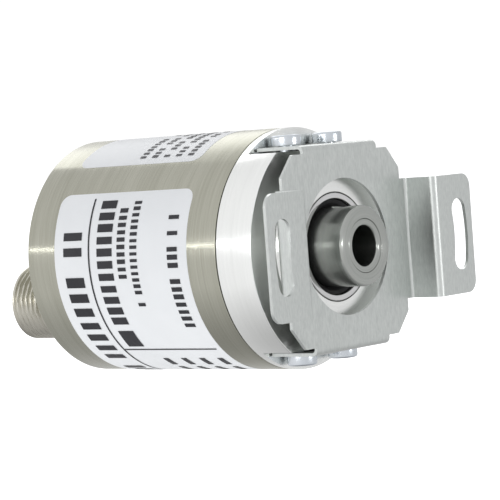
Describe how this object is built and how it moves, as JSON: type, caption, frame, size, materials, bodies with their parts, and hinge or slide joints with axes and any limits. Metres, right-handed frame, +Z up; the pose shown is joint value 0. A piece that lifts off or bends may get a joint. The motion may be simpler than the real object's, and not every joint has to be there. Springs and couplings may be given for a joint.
{
  "type": "rotary encoder",
  "caption": "Cylindrical rotary encoder with a blind hollow shaft and reducing sleeve, a bent spring-sheet torque support with slotted arms, and a threaded round connector at the rear.",
  "frame": {"origin": "where the shaft's axis crosses the plane of the torque support's arm faces, which bolt to the machine", "axes": "+Y along the shaft axis rearwards to the connector, +Z up, +X to the right seen from the front"},
  "size_m": [0.0506, 0.0662, 0.0368],
  "materials": {
    "housing": "turned, satin nickel tone",
    "flange": "machined, satin",
    "spring_sheet": "fine grain, stamped",
    "shaft_steel": "turned",
    "bearing_steel": "ground",
    "zinc": "zinc plated",
    "black_oxide": "black oxide",
    "rubber": "moulded",
    "black_plastic": "moulded",
    "magnet": "nickel plated",
    "circuit_board": "solder mask",
    "nickel": "nickel plated",
    "gold": "gold plated",
    "brass": "turned",
    "label": "printed film",
    "lead": "polyimide"
  },
  "bodies": {
    "stator": {"housing_cap": "housing", "flange": "flange", "flange_oring": "rubber", "torque_bracket": "spring_sheet", "shaft_seal_case": "bearing_steel", "shaft_seal_lip": "rubber", "front_bearing_outer_ring": "bearing_steel", "rear_bearing_outer_ring": "bearing_steel", "outer_spacer": "flange", "bearing_retaining_ring": "shaft_steel", "wave_spring": "shaft_steel", "sensor_board": "circuit_board", "interface_board": "circuit_board", "sensor_chip": "black_plastic", "pulse_wire_coil": "lead", "processor_chip": "black_plastic", "board_header": "black_plastic", "transceiver_chip": "black_plastic", "capacitor": "nickel", "connector_shell": "nickel", "connector_oring": "rubber", "connector_insert": "black_plastic", "connector_lead": "lead", "type_label": "label", "wiring_label": "label", "bracket_screw_top_left": "zinc", "bracket_screw_top_right": "zinc", "bracket_screw_bottom_left": "zinc", "bracket_screw_bottom_right": "zinc", "front_standoff_1": "brass", "rear_standoff_1": "brass", "board_screw_1": "zinc", "front_standoff_2": "brass", "rear_standoff_2": "brass", "board_screw_2": "zinc", "front_standoff_3": "brass", "rear_standoff_3": "brass", "board_screw_3": "zinc", "contact_pin_1": "gold", "contact_pin_2": "gold", "contact_pin_3": "gold", "contact_pin_4": "gold", "contact_pin_5": "gold"},
    "rotor": {"hollow_shaft": "shaft_steel", "reducing_sleeve": "shaft_steel", "set_screw_top": "black_oxide", "set_screw_side": "black_oxide", "front_bearing_inner_ring": "bearing_steel", "rear_bearing_inner_ring": "bearing_steel", "inner_spacer": "shaft_steel", "shaft_circlip": "shaft_steel", "magnet_holder": "brass", "sensor_magnet": "magnet"},
    "front_cage": {"front_bearing_cage": "brass"},
    "rear_cage": {"rear_bearing_cage": "brass"}
  },
  "joints": [
    {"name": "shaft_spin", "type": "hinge", "parent": "stator", "child": "rotor", "pos_m": [0, 0.002, 0], "axis": [0, 1, 0], "continuous": true},
    {"name": "front_cage_spin", "type": "hinge", "parent": "stator", "child": "front_cage", "pos_m": [0, 0.0127, 0], "axis": [0, 1, 0], "continuous": true},
    {"name": "rear_cage_spin", "type": "hinge", "parent": "stator", "child": "rear_cage", "pos_m": [0, 0.0199, 0], "axis": [0, 1, 0], "continuous": true}
  ],
  "couplings": [
    {"joint": "front_cage_spin", "follows": "shaft_spin", "ratio": 0.4337},
    {"joint": "rear_cage_spin", "follows": "shaft_spin", "ratio": 0.4337}
  ]
}
